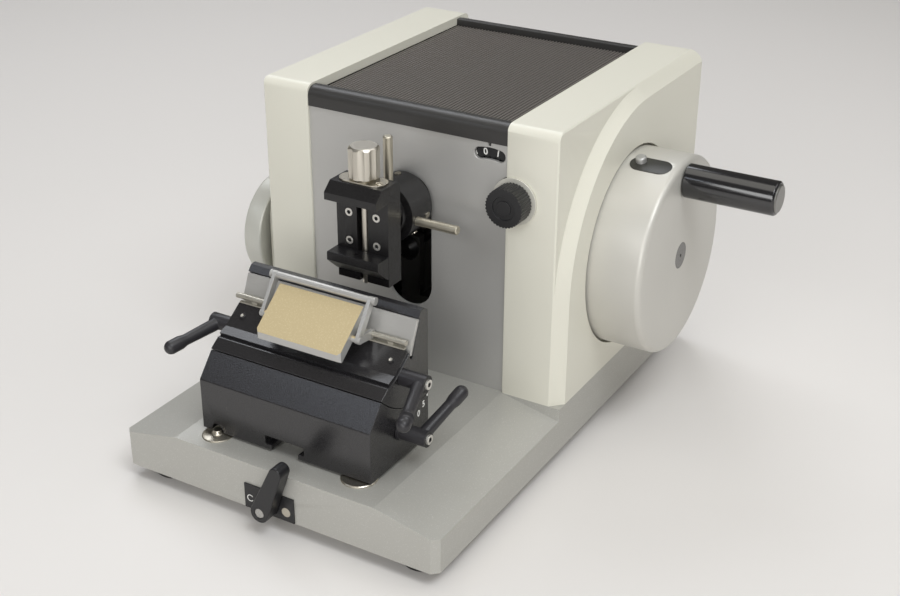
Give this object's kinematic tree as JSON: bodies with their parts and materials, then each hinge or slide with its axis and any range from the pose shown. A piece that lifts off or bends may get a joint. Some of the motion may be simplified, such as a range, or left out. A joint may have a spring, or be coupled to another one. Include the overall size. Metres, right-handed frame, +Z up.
{
  "type": "rotary microtome",
  "caption": "Bench rotary microtome: side handwheel lifts and lowers a clamped specimen past a blade holder on a heavy base, with coarse feed wheel and section thickness dial.",
  "frame": {"origin": "on the table, on the middle line of the base from side to side, in the plane of the side covers' front faces", "axes": "+X towards the handwheel side, +Y from the blade holder towards the back, +Z up"},
  "size_m": [0.436, 0.466, 0.283],
  "materials": {
    "ivory_paint": "smooth ivory, light satin sheen",
    "grey_metal": "satin warm grey",
    "base_metal": "fine satin warm grey",
    "steel": "fine ground",
    "nickel": "satin nickel",
    "aluminium": "satin anodised",
    "black_metal": "black anodised",
    "black_plastic": "satin black",
    "grip_plastic": "polished black",
    "bronze": "plain bearing bronze",
    "rubber": "matt black",
    "mat": "matt ribbed dark grey",
    "gold_paint": "speckled sand gold"
  },
  "bodies": {
    "frame": {"base_plate": "base_metal", "feet": "rubber", "guide_rails": "steel", "locating_discs": "nickel", "clamp_plate": "black_plastic", "right_cover": "ivory_paint", "left_cover": "ivory_paint", "front_panel": "grey_metal", "rear_panel": "grey_metal", "top_plate": "aluminium", "top_mat": "mat", "top_trims": "black_plastic", "side_frames": "aluminium", "shaft_housing": "aluminium", "bearings": "bronze", "inner_brackets": "aluminium", "knob_ring": "steel", "panel_screws": "steel"},
    "handwheel": {"handwheel": "aluminium", "hub_cap": "steel", "drive_shaft": "steel", "crank_disc": "steel", "lock_plate": "black_plastic", "handle_spindle": "steel"},
    "grip": {"handle_grip": "grip_plastic", "grip_cap": "steel"},
    "wheel_lock": {"wheel_lock_pin": "nickel"},
    "feed": {"feed_carriage": "aluminium", "guide_columns": "steel"},
    "spindle": {"feed_spindle": "steel"},
    "pawl": {"ratchet_pawl": "steel"},
    "coarse_feed": {"coarse_wheel": "aluminium"},
    "lift": {"lift_block": "aluminium", "specimen_arm": "black_metal", "ball_housing": "black_metal", "housing_screws": "steel"},
    "pan_lock": {"pan_lock_pin": "nickel"},
    "tilt_lock": {"tilt_lock_pin": "nickel"},
    "pan_belt": {"pan_ring": "black_metal"},
    "vice": {"vice_ball": "steel", "vice_body": "black_metal", "vice_screws": "nickel", "vice_top_plate": "nickel"},
    "vice_screw": {"vice_knob": "nickel"},
    "jaw": {"vice_jaw": "black_metal"},
    "holder": {"holder_block": "black_metal"},
    "segment": {"holder_segment": "black_metal", "front_plate": "black_metal", "holder_screws": "nickel", "guard_axle": "steel"},
    "blade_clamp": {"pressure_plate": "aluminium"},
    "guard": {"guard_frame": "steel", "guard_flap": "gold_paint"},
    "blade_lock": {"blade_lever": "black_plastic"},
    "angle_lock": {"angle_lever": "black_plastic"},
    "block_lock": {"block_lever": "black_plastic"},
    "front_clamp": {"front_clamp_lever": "black_plastic", "clamp_shaft": "steel"},
    "dial": {"thickness_dial": "black_plastic"},
    "knob": {"thickness_knob": "black_plastic"}
  },
  "joints": [
    {"name": "handwheel_turn", "type": "hinge", "parent": "frame", "child": "handwheel", "pos_m": [0, 0.1235, 0.1505], "axis": [1, 0, 0], "continuous": true},
    {"name": "grip_spin", "type": "hinge", "parent": "handwheel", "child": "grip", "pos_m": [0, 0.1235, 0.217], "axis": [1, 0, 0], "continuous": true},
    {"name": "wheel_lock_push", "type": "slide", "parent": "handwheel", "child": "wheel_lock", "axis": [0, 0.2402, -0.9707], "range_m": [0, 0.004]},
    {"name": "coarse_wheel_turn", "type": "hinge", "parent": "frame", "child": "coarse_feed", "pos_m": [0, 0.048, 0.129], "axis": [1, 0, 0], "range_deg": [-180, 900]},
    {"name": "feed_spindle_turn", "type": "hinge", "parent": "frame", "child": "spindle", "pos_m": [-0.036, 0, 0.129], "axis": [0, 1, 0], "range_deg": [-181, 901]},
    {"name": "feed_slide", "type": "slide", "parent": "frame", "child": "feed", "axis": [0, -1, 0], "range_m": [-0.00401, 0.02002]},
    {"name": "pawl_swing", "type": "hinge", "parent": "frame", "child": "pawl", "pos_m": [-0.068, 0.197, 0.133], "axis": [0, -1, 0], "range_deg": [0, 15]},
    {"name": "lift_slide", "type": "slide", "parent": "feed", "child": "lift", "axis": [0, 0, 1], "range_m": [-0.06, 0]},
    {"name": "pan_lock_turn", "type": "hinge", "parent": "lift", "child": "pan_lock", "pos_m": [0.003, -0.027, 0.229], "axis": [0, 0, 1], "range_deg": [0, 90]},
    {"name": "tilt_lock_turn", "type": "hinge", "parent": "lift", "child": "tilt_lock", "pos_m": [0.028, -0.025, 0.2], "axis": [1, 0, 0], "range_deg": [0, 90]},
    {"name": "pan_turn", "type": "hinge", "parent": "lift", "child": "pan_belt", "pos_m": [0.003, -0.024, 0.204], "axis": [0, 0, 1], "range_deg": [-8, 8]},
    {"name": "tilt_turn", "type": "hinge", "parent": "pan_belt", "child": "vice", "pos_m": [0.003, -0.024, 0.204], "axis": [-1, 0, 0], "range_deg": [-8, 8]},
    {"name": "vice_knob_turn", "type": "hinge", "parent": "vice", "child": "vice_screw", "pos_m": [0.003, -0.06, 0.204], "axis": [0, 0, 1], "range_deg": [0, 2040]},
    {"name": "vice_jaw_slide", "type": "slide", "parent": "vice", "child": "jaw", "axis": [0, 0, 1], "range_m": [0, 0.03401]},
    {"name": "holder_slide", "type": "slide", "parent": "frame", "child": "holder", "axis": [0, -1, 0], "range_m": [-0.006, 0.014]},
    {"name": "angle_tilt", "type": "hinge", "parent": "holder", "child": "segment", "pos_m": [-0.0025, -0.097, 0.166], "axis": [1, 0, 0], "range_deg": [-4, 6]},
    {"name": "blade_lever_turn", "type": "hinge", "parent": "segment", "child": "blade_lock", "pos_m": [-0.081, -0.1246, 0.1234], "axis": [-1, 0, 0], "range_deg": [0, 75]},
    {"name": "blade_clamp_open", "type": "hinge", "parent": "segment", "child": "blade_clamp", "pos_m": [-0.0025, -0.1112, 0.1346], "axis": [1, 0, 0], "range_deg": [0, 2.1]},
    {"name": "guard_flip", "type": "hinge", "parent": "segment", "child": "guard", "pos_m": [-0.0025, -0.1134, 0.145], "axis": [-1, 0, 0], "range_deg": [0, 18]},
    {"name": "angle_lever_turn", "type": "hinge", "parent": "segment", "child": "angle_lock", "pos_m": [0.076, -0.1246, 0.1234], "axis": [-1, 0, 0], "range_deg": [0, 75]},
    {"name": "block_lever_turn", "type": "hinge", "parent": "holder", "child": "block_lock", "pos_m": [0.076, -0.1285, 0.0795], "axis": [-1, 0, 0], "range_deg": [0, 60]},
    {"name": "front_clamp_turn", "type": "hinge", "parent": "frame", "child": "front_clamp", "pos_m": [-0.002, -0.197, 0.0214], "axis": [0, 1, 0], "range_deg": [-45, 60]},
    {"name": "dial_turn", "type": "hinge", "parent": "frame", "child": "dial", "pos_m": [0.076, 0.008, 0.2145], "axis": [0, -1, 0], "range_deg": [0, 290]},
    {"name": "thickness_knob_turn", "type": "hinge", "parent": "frame", "child": "knob", "pos_m": [0.1, 0, 0.2234], "axis": [0, -1, 0], "range_deg": [0, 967]}
  ],
  "couplings": [
    {"joint": "feed_spindle_turn", "follows": "coarse_wheel_turn", "ratio": 1},
    {"joint": "feed_slide", "follows": "coarse_wheel_turn", "m_per_rad": 0.0012732},
    {"joint": "vice_jaw_slide", "follows": "vice_knob_turn", "m_per_rad": 0.00095493},
    {"joint": "blade_clamp_open", "follows": "blade_lever_turn", "ratio": 0.026667},
    {"joint": "thickness_knob_turn", "follows": "dial_turn", "ratio": 3.3333}
  ]
}
